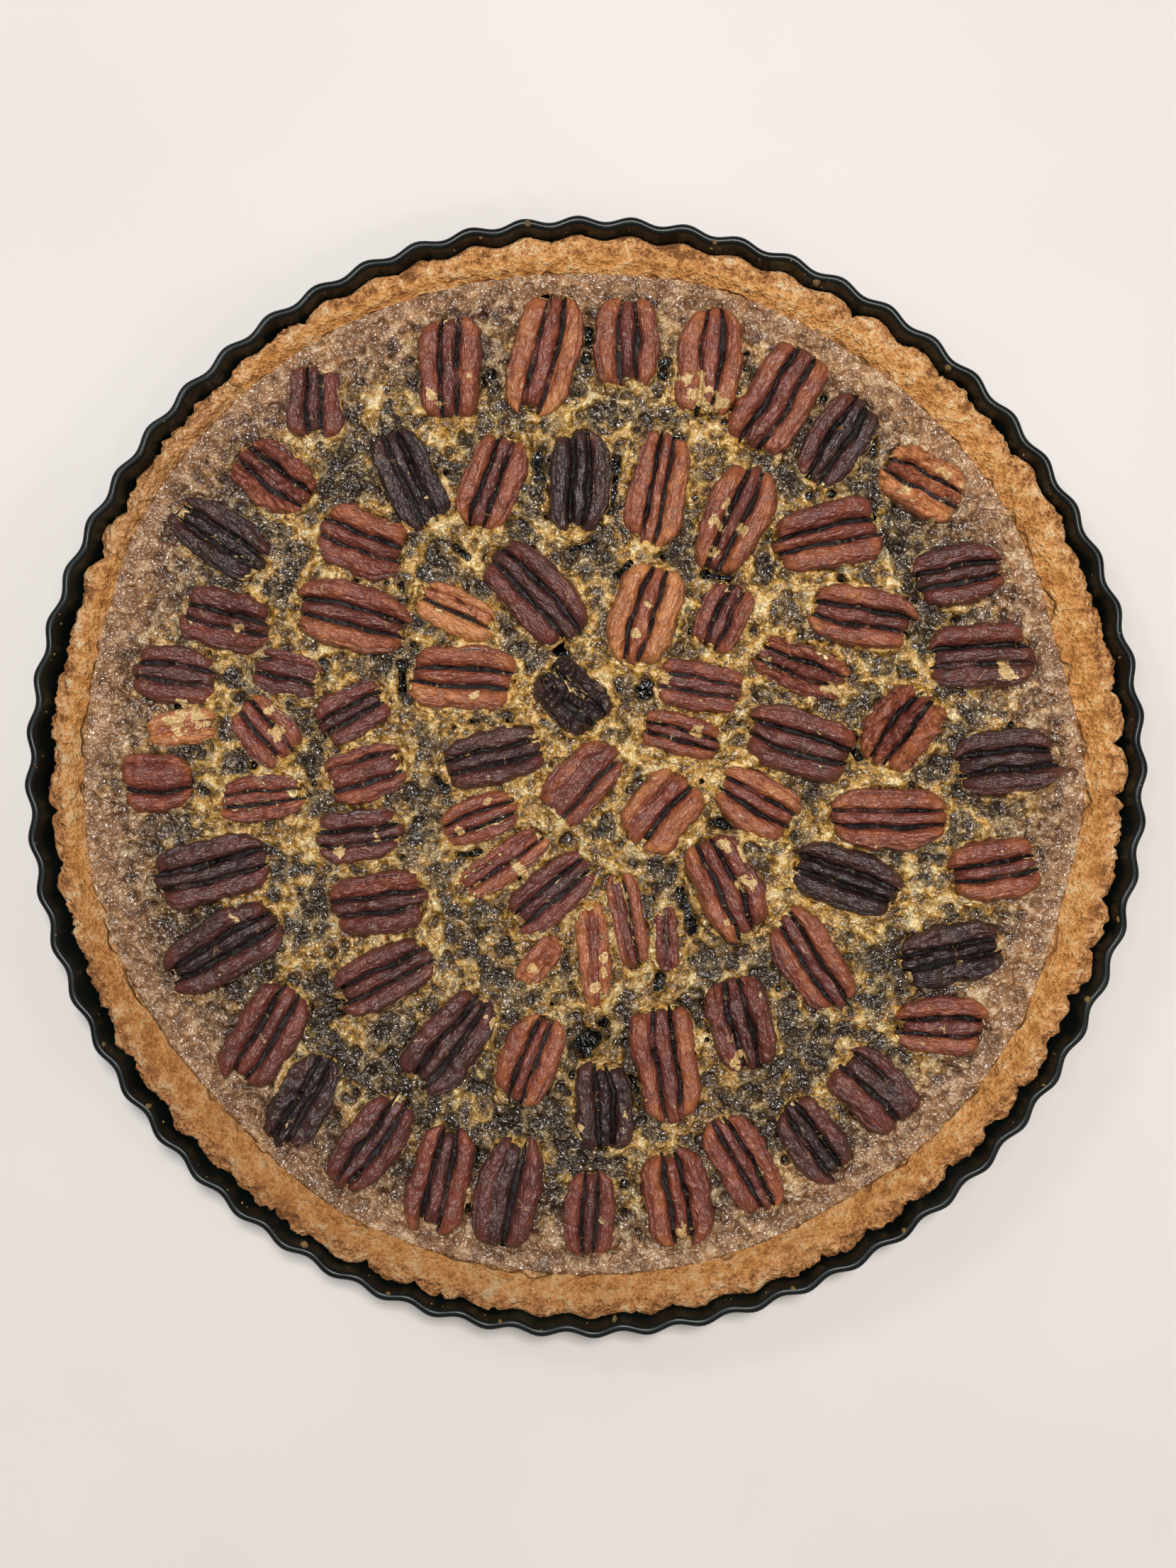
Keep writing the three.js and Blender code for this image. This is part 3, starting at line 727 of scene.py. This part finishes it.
def pecan_piece(number, place):
    """A roasted pecan half: three rounded ridges and two deep folds, flat side down in the filling."""
    middle, heading, length, width = place
    form = pecan_form(number)
    seed = number * 7.3
    roast = next((tone for tone, members in ROAST.values() if number in members), RUSSET)
    turn = Matrix.Rotation(heading, 2)
    thickness = max(THICKNESS_TO_WIDTH * width, LEAST_THICKNESS)
    bm = bmesh.new()
    bmesh.ops.create_uvsphere(bm, u_segments=PECAN_AROUND, v_segments=PECAN_STATIONS, radius=1)
    cleft_layer, chip_layer, shade_layer, above_layer = (
        bm.verts.layers.float.new(name) for name in ("cleft", "chip", "shade", "above"))
    grain_layer = bm.verts.layers.float_vector.new("grain")
    for vert in bm.verts:
        along = vert.co.z
        share = (math.atan2(vert.co.y, vert.co.x) / math.tau) % 1
        if share < BACK_SHARE:
            side, rise, cleft, ridge = pecan_back(along, share / BACK_SHARE, form, seed)
        else:
            side = 1 - 2 * (share - BACK_SHARE) / (1 - BACK_SHARE)
            side *= girth_at(along, form) * (1 + form["taper"] * along)
            rise, cleft, ridge = 0.0, 0.0, 1
        x, y = along * length / 2, side * width / 2
        spread = 1 + 0.12 * noise.noise((along * 2.1, math.copysign(1, side), seed))
        spread += 0.07 * noise.noise((along * 6.5, math.copysign(2, side), seed))
        y = y * spread + form["bow"] * width * (1 - along * along)
        height = rise * thickness
        if rise > 0.1:
            lump = form["lumps"] * noise.noise((x / (8 * MM), y / (2.6 * MM), seed))
            wrinkle = form["wrinkles"] * (creases(x * 0.6, y, 2.2 * MM, seed) - 0.6)
            wrinkle += 0.04 * noise.noise((x / (4 * MM), y / (1.0 * MM), seed))
            wrinkle += 0.05 * noise.noise((x / (1.5 * MM), y / (5 * MM), seed)) * form["bands"]
            height += thickness * (lump + wrinkle) * min(1.0, 2 * rise)
        flat = turn @ Vector((x, y)) + middle
        chip = spot(flat, CHIPS) + 0.14 * bumps(x, y, 1.3 * MM, seed) if rise > 0.2 else 0
        height -= SKIN_DEPTH * smoothstep(0.42, 0.56, chip)
        vert.co = (flat.x, flat.y, PECAN_BASE + max(0, height))
        # Roast tone drifting at random and lighter towards the ends; the low flanks of each ridge darker with
        # painted shade
        drift_and_flank_shade = 0.12 * noise.noise((x / (9 * MM), y / (5 * MM), seed + 3))
        drift_and_flank_shade -= 0.05 + 0.18 * smoothstep(0.5, 1, abs(along)) - 0.34 * (1 - smoothstep(0.15, 0.98, rise))
        vert[cleft_layer] = cleft
        vert[chip_layer] = chip
        vert[shade_layer] = roast + form["tints"][ridge] + drift_and_flank_shade
        vert[above_layer] = (vert.co.z - FILLING_LEVEL) / MM
        vert[grain_layer] = (x, y, seed * MM)
    bmesh.ops.recalc_face_normals(bm, faces=bm.faces)
    return bm


def crumbs_piece():
    """Crumbs of pastry caught on the tin's bead and in the gap beside the crust."""
    draw = random.Random(11)
    crumbs = list(BIG_CRUMBS)
    for _ in range(FINE_CRUMBS):
        crumbs.append((draw.uniform(0, 360), draw.uniform(137.6, 139.9), draw.uniform(0.25, 0.75)))
    bm = bmesh.new()
    for number, (degrees, radius, size) in enumerate(crumbs):
        angle = math.radians(degrees)
        from_bead = radius * MM - (RIM_RADIUS - BEAD_RADIUS)
        height = RIM_TOP - BEAD_RADIUS
        if abs(from_bead) < BEAD_RADIUS:
            height += math.sqrt(BEAD_RADIUS ** 2 - from_bead ** 2) - 0.15 * MM
        else:
            height -= 1 * MM
        height = min(height, RIM_TOP - 0.1 * size * MM)
        reach = radius * MM + FLUTE_DEPTH * flute_wave(angle)
        middle = Vector((reach * math.cos(angle), reach * math.sin(angle), height))
        ball = bmesh.ops.create_icosphere(bm, subdivisions=2 if size > 0.8 else 1, radius=size * MM / 2)
        stretch = Vector([draw.uniform(0.7, 1.3) for _ in range(3)])
        for vert in ball["verts"]:
            lump = 1 + 0.45 * noise.noise(vert.co / (0.6 * size * MM) + Vector((number, 0, 0)))
            vert.co = vert.co * stretch * lump + middle
    return bm


def froth(tree, place, golden, rim=None):
    """Baked custard froth: dark syrup under golden foam, glinting all over, partly through pale specks of
    tiny bubbles and painted glints, with painted shade in its low gaps and valleys. Colour, height,
    roughness.
    """
    fine = add(tree, "TexNoise", {"Vector": place, "Scale": per_metre(FINE_BUBBLE), "Detail": 1.0})
    curdled = add(tree, "TexNoise", {"Vector": place, "Scale": per_metre(3.4), "Detail": 2.0})
    curd = add(tree, "Math", {0: curdled, 1: 0.5}, operation="SUBTRACT")
    curd = add(tree, "Math", {0: curd}, operation="ABSOLUTE")
    tone = add(tree, "TexNoise", {"Vector": place, "Scale": per_metre(3), "Detail": 2.5})
    coarse = add(tree, "TexNoise", {"Vector": place, "Scale": per_metre(6.5), "Detail": 3.5})
    cells = add(tree, "TexVoronoi", {"Vector": place, "Scale": per_metre(1.5)}, feature="SMOOTH_F1")
    patches = add(tree, "TexNoise", {"Vector": place, "Scale": per_metre(7), "Detail": 1.0})
    busy = add(tree, "MapRange", {"Value": patches, "From Min": 0.42, "From Max": 0.58, "To Min": 0.2})
    if rim is not None:
        calmer = add(tree, "Math", {0: rim, 1: -0.5, 2: 1.0}, operation="MULTIPLY_ADD")
        busy = add(tree, "Math", {0: busy, 1: calmer}, operation="MULTIPLY")
    mottle = add(tree, "Math", {0: coarse, 1: 2.6, 2: -1.3}, operation="MULTIPLY_ADD")
    cover = add(tree, "Math", {0: mottle, 1: golden}, operation="ADD")
    covered = add(tree, "MapRange", {"Value": cover, "From Min": 0.2, "From Max": 0.62},
                  interpolation_type="SMOOTHSTEP")
    syrup = add(tree, "ValToRGB", {"Fac": tone}, stops=[
        (0.34, "#1B1005"), (0.46, "#45331A"), (0.56, "#775E35"), (0.68, "#B4955E")])
    foam = add(tree, "ValToRGB", {"Fac": tone}, stops=[
        (0.34, "#694812"), (0.45, "#A97A28"), (0.55, "#E2AE54"), (0.66, "#FFE3A2")])
    blend = add(tree, "Mix", {0: covered, 6: syrup, 7: foam}, data_type="RGBA")
    if rim is not None:
        plum = add(tree, "ValToRGB", {"Fac": tone}, stops=[
            (0.32, "#4E2F1B"), (0.45, "#875B3B"), (0.56, "#B5875E"), (0.68, "#E6C59E")])
        rim_part = add(tree, "Math", {0: rim, 1: 0.8}, operation="MULTIPLY")
        edge = add(tree, "MapRange", {"Value": rim, "From Min": 0.96, "To Max": 0.35})
        for share, tint in ((rim_part, plum), (edge, "#C48E60")):
            blend = add(tree, "Mix", {0: share, 6: blend, 7: tint}, data_type="RGBA")
    # Painted shade in the low gaps between bubbles and in the curd's valleys, where the relief below sinks
    gap_shade = add(tree, "MapRange", {"Value": fine, "From Min": 0.48, "From Max": 0.3, "To Max": 0.75})
    gap_shade = add(tree, "Math", {0: gap_shade, 1: busy}, operation="MULTIPLY")
    valley_shade = add(tree, "MapRange", {"Value": curd, "From Max": 0.05, "To Min": 0.8, "To Max": 0.0})
    valley_shade = add(tree, "Math", {0: valley_shade, 1: busy}, operation="MULTIPLY")
    # Pale specks: tiny bubbles, and painted glints
    bubbles_and_glints = add(tree, "TexNoise", {"Vector": place, "Scale": per_metre(FINEST_DRAWN), "Detail": 1.0})
    beads_and_glints = add(tree, "MapRange", {"Value": bubbles_and_glints, "From Min": 0.6, "From Max": 0.72, "To Max": 0.55})
    for share, tint in ((gap_shade, "#261404"), (valley_shade, "#221204"), (beads_and_glints, "#F0E0C0")):
        blend = add(tree, "Mix", {0: share, 6: blend, 7: tint}, data_type="RGBA")
    height = 0.0
    for part, rise in ((fine, 0.8), (curd, 2.6), (tone, 1.2), (cells, -0.2)):
        height = add(tree, "Math", {0: part, 1: rise, 2: height}, operation="MULTIPLY_ADD")
    rough = add(tree, "MapRange", {"Value": covered, "To Min": 0.2, "To Max": 0.28})
    return blend, height, rough


def finish_shader(tree, output, base, height, rough, specular=0.5):
    """The end of every material here: its colour, its relief in millimetres, its roughness and gloss."""
    bump = add(tree, "Bump", {"Strength": 1.0, "Distance": MM, "Height": height})
    shader = add(tree, "BsdfPrincipled", {
        "Base Color": base, "Roughness": rough, "Specular IOR Level": specular, "Normal": bump})
    tree.links.new(shader.outputs["BSDF"], output.inputs["Surface"])


def filling_finish():
    """Pecan custard, baked: glossy syrup under golden froth, which glints all over, partly through painted
    glints, with painted shade in its hollows, beside the nuts and in its bubble holes.
    """
    made, tree, output, place = new_material("baked_custard_froth")
    golden, rim, pit, hollow_shade = (
        add(tree, "Attribute", attribute_name=name).outputs["Fac"]
        for name in ("golden", "rim", "pit", "hollow_shade"))
    base, height, rough = froth(tree, place, golden, rim)
    # Painted shade in the hollows, on the side away from the lamps and beside the nuts
    sunk_shade = add(tree, "Math", {0: hollow_shade, 1: 0.75}, operation="MULTIPLY", use_clamp=True)
    base = add(tree, "Mix", {0: sunk_shade, 6: base, 7: "#241407"}, data_type="RGBA")
    # The bubble holes painted near black: painted shade in their depth
    ragged = add(tree, "TexNoise", {"Vector": place, "Scale": per_metre(1.2), "Detail": 2.0})
    edge = add(tree, "Math", {0: ragged, 1: 0.5, 2: pit}, operation="MULTIPLY_ADD")
    hole = add(tree, "MapRange", {"Value": edge, "From Min": 0.78, "From Max": 0.88})
    base = add(tree, "Mix", {0: hole, 6: base, 7: "#060402"}, data_type="RGBA")
    rough = add(tree, "Mix", {0: hole, 2: rough, 3: 0.12})
    finish_shader(tree, output, base, height, rough, specular=1.0)
    return made


def pastry_finish():
    """Shortcrust, baked golden: grainy and dry outside, smoother and buttery down to the filling."""
    made, tree, output, place = new_material("baked_shortcrust")
    glaze, browning_and_shade, slope = (
        add(tree, "Attribute", attribute_name=name).outputs["Fac"]
        for name in ("glaze", "browning_and_shade", "slope"))
    radial = add(tree, "Attribute", attribute_name="radial").outputs["Vector"]
    broad = add(tree, "TexNoise", {"Vector": place, "Scale": per_metre(9), "Detail": 2.0})
    grit = add(tree, "TexNoise", {
        "Vector": place, "Scale": per_metre(FLOUR_GRAIN), "Detail": 2.5, "Roughness": 0.65})
    crumb = add(tree, "TexVoronoi", {"Vector": place, "Scale": per_metre(1.3)}, feature="SMOOTH_F1")
    streaks = add(tree, "TexNoise", {"Vector": radial, "Scale": per_metre(1.2), "Detail": 2.0})
    crags = add(tree, "TexNoise", {"Vector": place, "Scale": per_metre(3.2), "Detail": 3.0})
    # Dough tone from grain, streaks and crags: paler where they stand high, darker where low, partly its own
    # grain and partly painted shade in the hollows
    shade = -0.52
    for part, share in ((grit, 0.7), (streaks, 0.2), (crags, 0.7), (broad, 0.4)):
        shade = add(tree, "Math", {0: part, 1: share, 2: shade}, operation="MULTIPLY_ADD")
    dough = add(tree, "ValToRGB", {"Fac": shade}, stops=[
        (0.33, "#8E5A2A"), (0.43, "#D08E4E"), (0.55, "#F4B26E"), (0.67, "#FFE2B0")])
    butter = add(tree, "ValToRGB", {"Fac": shade}, stops=[
        (0.33, "#BE7A36"), (0.5, "#EFA85A"), (0.7, "#FFD698")])
    base = add(tree, "Mix", {0: slope, 6: dough, 7: butter}, data_type="RGBA")
    # Browning mixed with painted shade in the crust's low places and on the side away from the lamps
    browned_and_shaded = add(tree, "Math", {0: browning_and_shade, 1: 0.55}, operation="MULTIPLY")
    base = add(tree, "Mix", {0: browned_and_shaded, 6: base, 7: "#85522A"}, data_type="RGBA")
    film, film_height, film_rough = froth(tree, place, 0.4, glaze)
    film = add(tree, "Mix", {0: 0.5, 6: film, 7: base}, data_type="RGBA")
    edge = add(tree, "Math", {0: grit, 1: 0.6, 2: glaze}, operation="MULTIPLY_ADD")
    wet = add(tree, "MapRange", {"Value": edge, "From Min": 0.6, "From Max": 1.05})
    base = add(tree, "Mix", {0: wet, 6: base, 7: film}, data_type="RGBA")
    height = 0.0
    for part, rise in ((streaks, 0.4), (crags, 3.0), (grit, 1.4), (crumb, -0.3)):
        height = add(tree, "Math", {0: part, 1: rise, 2: height}, operation="MULTIPLY_ADD")
    height = add(tree, "Mix", {0: wet, 2: height, 3: film_height})
    rough = add(tree, "Mix", {0: wet, 2: 0.72, 3: film_rough})
    finish_shader(tree, output, base, height, rough)
    return made


def pecan_finish():
    """Roasted pecan skin: satin and thinly glazed, fine grained along the nut, with painted shade near black
    in its folds.
    """
    made, tree, output, place = new_material("roasted_pecan_skin")
    grain = add(tree, "Attribute", attribute_name="grain").outputs["Vector"]
    cleft, chip, roast, above = (
        add(tree, "Attribute", attribute_name=name).outputs["Fac"]
        for name in ("cleft", "chip", "shade", "above"))
    along = add(tree, "Mapping", {"Vector": grain, "Scale": (per_metre(5), per_metre(0.55), 1)})
    streak = add(tree, "TexNoise", {"Vector": along, "Scale": 1.0, "Detail": 4.0})
    blotch = add(tree, "TexNoise", {"Vector": place, "Scale": per_metre(3), "Detail": 3.0})
    grit = add(tree, "TexNoise", {"Vector": place, "Scale": per_metre(SKIN_GRAIN), "Detail": 2.0})
    tone = roast
    for part, share in ((streak, 0.3), (blotch, 0.4), (grit, 0.12)):
        tone = add(tree, "Math", {0: part, 1: share, 2: tone}, operation="MULTIPLY_ADD")
    tone = add(tree, "Math", {0: tone, 1: 0.41}, operation="SUBTRACT")
    skin = add(tree, "ValToRGB", {"Fac": tone}, stops=[
        (0.0, "#D08850"), (0.16, "#AE643C"), (0.38, "#844232"), (0.62, "#62332B"), (0.8, "#472A27"),
        (1.0, "#2E1E1D")])
    rows = add(tree, "Mapping", {"Vector": grain, "Scale": (per_metre(4.2), per_metre(1.9), 1)})
    wrinkled = add(tree, "TexNoise", {"Vector": rows, "Scale": 1.0, "Detail": 3.0})
    wrinkle = add(tree, "Math", {0: wrinkled, 1: 0.5}, operation="SUBTRACT")
    wrinkle = add(tree, "Math", {0: wrinkle}, operation="ABSOLUTE")
    # Painted shade in the creases between wrinkles, where the bump sinks
    crease_shade = add(tree, "MapRange", {"Value": wrinkle, "From Max": 0.03, "To Min": 0.55, "To Max": 0.0})
    skin = add(tree, "Mix", {0: crease_shade, 6: skin, 7: "#241210"}, data_type="RGBA")
    # Painted shade: the folds and shelf creases near black
    folds = add(tree, "MapRange", {"Value": cleft, "From Min": 0.3, "From Max": 0.95},
                interpolation_type="SMOOTHSTEP")
    base = add(tree, "Mix", {0: folds, 6: skin, 7: "#120906"}, data_type="RGBA")
    across = add(tree, "Mapping", {"Vector": grain, "Scale": (per_metre(6), per_metre(13), 1)})
    crack = add(tree, "TexVoronoi", {"Vector": across, "Scale": 1.0}, feature="DISTANCE_TO_EDGE")
    rare = add(tree, "MapRange", {"Value": blotch, "From Min": 0.55, "From Max": 0.65})
    line = add(tree, "MapRange", {
        "Value": crack, "From Min": 0.008, "From Max": 0.02, "To Min": 0.5, "To Max": 0.0})
    line = add(tree, "Math", {0: line, 1: rare}, operation="MULTIPLY")
    base = add(tree, "Mix", {0: line, 6: base, 7: "#C48F5C"}, data_type="RGBA")
    kernel = add(tree, "ValToRGB", {"Fac": grit}, stops=[
        (0.3, "#C08A48"), (0.5, "#DDB778"), (0.7, "#EFD8A2")])
    ragged = chip
    for part, share in ((blotch, 2.6), (grit, 0.2)):
        ragged = add(tree, "Math", {0: part, 1: share, 2: ragged}, operation="MULTIPLY_ADD")
    bare = add(tree, "MapRange", {"Value": ragged, "From Min": 1.97, "From Max": 2.04})
    base = add(tree, "Mix", {0: bare, 6: base, 7: kernel}, data_type="RGBA")
    foam, foam_height, foam_rough = froth(tree, place, 0.6)
    edge = add(tree, "Math", {0: blotch, 1: 6.5, 2: -2.3}, operation="MULTIPLY_ADD")
    edge = add(tree, "Math", {0: edge, 1: above}, operation="SUBTRACT")
    edge = add(tree, "Math", {0: cleft, 1: -4.0, 2: edge}, operation="MULTIPLY_ADD")
    lapped = add(tree, "MapRange", {"Value": edge, "From Min": -0.1, "From Max": 0.2})
    base = add(tree, "Mix", {0: lapped, 6: base, 7: foam}, data_type="RGBA")
    deep_grit = add(tree, "MapRange", {"Value": cleft, "To Min": 0.16, "To Max": 0.6})
    height = 0.0
    for part, rise in ((streak, 0.4), (wrinkle, 2.2), (grit, deep_grit)):
        height = add(tree, "Math", {0: part, 1: rise, 2: height}, operation="MULTIPLY_ADD")
    height = add(tree, "Mix", {0: lapped, 2: height, 3: foam_height})
    rough = add(tree, "Math", {0: streak, 1: 0.3, 2: 0.16}, operation="MULTIPLY_ADD")
    rough = add(tree, "Math", {0: cleft, 1: -0.2, 2: rough}, operation="MULTIPLY_ADD")
    rough = add(tree, "Mix", {0: lapped, 2: rough, 3: foam_rough})
    finish_shader(tree, output, base, height, rough, specular=0.75)
    return made


def tin_finish():
    """Non-stick enamel on pressed steel: satin black, faintly pebbled, dulled by crumbs and butter."""
    made, tree, output, place = new_material("baked_black_enamel")
    smear = add(tree, "TexNoise", {"Vector": place, "Scale": per_metre(14), "Detail": 4.0})
    pebble = add(tree, "TexNoise", {"Vector": place, "Scale": per_metre(0.7), "Detail": 2.0})
    base = add(tree, "ValToRGB", {"Fac": smear}, stops=[(0.35, "#08100D"), (0.7, "#121A17")])
    height = add(tree, "Math", {0: pebble, 1: 0.02}, operation="MULTIPLY")
    rough = add(tree, "MapRange", {"Value": smear, "To Min": 0.22, "To Max": 0.42})
    finish_shader(tree, output, base, height, rough, specular=0.3)
    return made


def crumb_finish():
    """Loose pastry crumb: dry and pale gold, with painted shade darker in its hollows."""
    made, tree, output, place = new_material("pastry_crumb")
    grit = add(tree, "TexNoise", {"Vector": place, "Scale": per_metre(0.6), "Detail": 2.0})
    base = add(tree, "ValToRGB", {"Fac": grit}, stops=[
        (0.3, "#4E3A1E"), (0.55, "#7C6136"), (0.75, "#AA8A54")])
    height = add(tree, "Math", {0: grit, 1: 0.2}, operation="MULTIPLY")
    finish_shader(tree, output, base, height, 0.8)
    return made


def floor_finish():
    """A pale painted board under soft light, with the faintest unevenness."""
    made, tree, output, place = new_material("pale_painted_board")
    cloud = add(tree, "TexNoise", {"Vector": place, "Scale": per_metre(120), "Detail": 3.0})
    base = add(tree, "ValToRGB", {"Fac": cloud}, stops=[(0.3, "#E7E1DC"), (0.7, "#EDE8E3")])
    height = add(tree, "Math", {0: cloud, 1: 0.05}, operation="MULTIPLY")
    finish_shader(tree, output, base, height, 0.55)
    return made


def area_light(name, place, size, watts, tint):
    """A soft square light at a place, aimed at the pie."""
    lamp = bpy.data.lights.new(name, "AREA")
    lamp.size = size
    lamp.energy = watts
    lamp.color = colour(tint)[:3]
    light = bpy.data.objects.new(name, lamp)
    light.location = place
    light.rotation_euler = (-Vector(place)).to_track_quat("-Z", "Y").to_euler()
    bpy.context.scene.collection.objects.link(light)


def camera_and_light():
    """The photograph's view, straight down over the pie, under soft lamps nearly overhead."""
    scene = bpy.context.scene
    lens = bpy.data.cameras.new("camera")
    lens.sensor_fit = "VERTICAL"
    lens.sensor_height = SENSOR_HEIGHT
    lens.lens = FOCAL_LENGTH
    lens.clip_start = 0.01
    camera = bpy.data.objects.new("camera", lens)
    camera.location = CAMERA_PLACE
    scene.collection.objects.link(camera)
    scene.camera = camera
    world = bpy.data.worlds.new("soft_room")
    world.use_nodes = True
    world.node_tree.nodes["Background"].inputs["Color"].default_value = colour("#FFFDFC")
    world.node_tree.nodes["Background"].inputs["Strength"].default_value = ROOM_BRIGHTNESS
    scene.world = world
    for lamp in LAMPS:
        area_light(*lamp)
    scene.view_settings.view_transform = "Standard"


def build():
    """Every piece with its finish, each on the body and in place of the solids that it dresses."""
    places = pecan_places()
    custard, pastry, skin = filling_finish(), pastry_finish(), pecan_finish()
    pieces = [
        (finish_mesh(tin_piece(), "tin_shell", tin_finish()), "tin", ["tin"]),
        (finish_mesh(crust_piece(), "crust_shell", pastry), "crust", ["crust"]),
        (finish_mesh(filling_piece(places), "custard", custard), "filling", ["filling"]),
        (finish_mesh(crumbs_piece(), "crumbs", crumb_finish()), "crust", []),
    ]
    for number, place in places.items():
        name = f"pecan_{number:02d}"
        replaced = [name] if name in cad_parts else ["filling"]
        pieces.append((finish_mesh(pecan_piece(number, place), f"nut_{number:02d}", skin), "pecan", replaced))
    for piece, slot, replaced in pieces:
        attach(piece, "root")
        if replaced:
            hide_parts(*replaced)
    bm = bmesh.new()
    bmesh.ops.create_grid(bm, x_segments=2, y_segments=2, size=FLOOR_HALF_WIDTH)
    finish_mesh(bm, "floor", floor_finish())
    camera_and_light()


build()
